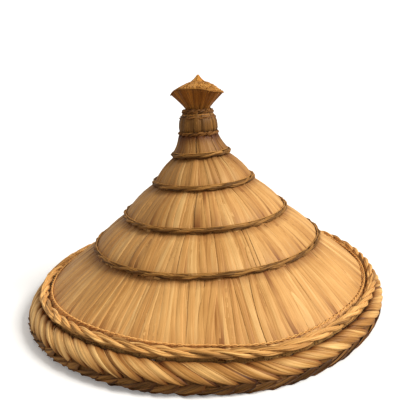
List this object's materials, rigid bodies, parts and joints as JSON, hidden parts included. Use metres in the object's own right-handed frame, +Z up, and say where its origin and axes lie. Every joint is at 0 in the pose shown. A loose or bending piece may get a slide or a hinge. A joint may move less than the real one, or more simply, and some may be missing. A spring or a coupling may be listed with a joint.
{
  "type": "straw hat",
  "caption": "Tall conical straw hat thatched in overlapping tiers, with a twisted cord along each hem, a thick plaited rim, and a bound neck that ends in a flared topknot.",
  "frame": {"origin": "centre of the plaited rim's foot, on the surface that the hat rests on", "axes": "+Z up along the axis of the cone, -Y to the front, +X to the wearer's left"},
  "size_m": [0.4426, 0.4403, 0.2743],
  "materials": {
    "thatch": "dry combed straw, golden, browner in the grooves between the straws",
    "cord": "twisted straw cord, brown in the lay and tan on its crests",
    "plait": "flat straw strands with a slight sheen, plaited to a herringbone",
    "bundle": "bound straw bundle, weathered brown, with paler cut ends"
  },
  "bodies": {
    "root": {"tier_1": "thatch", "tier_2": "thatch", "tier_3": "thatch", "tier_4": "thatch", "tier_5": "thatch", "hem_cord_1": "cord", "hem_cord_2": "cord", "hem_cord_3": "cord", "hem_cord_4": "cord", "rim_cord": "cord", "stitch_cord": "cord", "plaited_rim": "plait", "neck": "bundle", "neck_cord_lower": "cord", "neck_cord_middle": "cord", "neck_cord_upper": "cord", "topknot": "bundle", "topknot_tip": "bundle"}
  },
  "joints": []
}
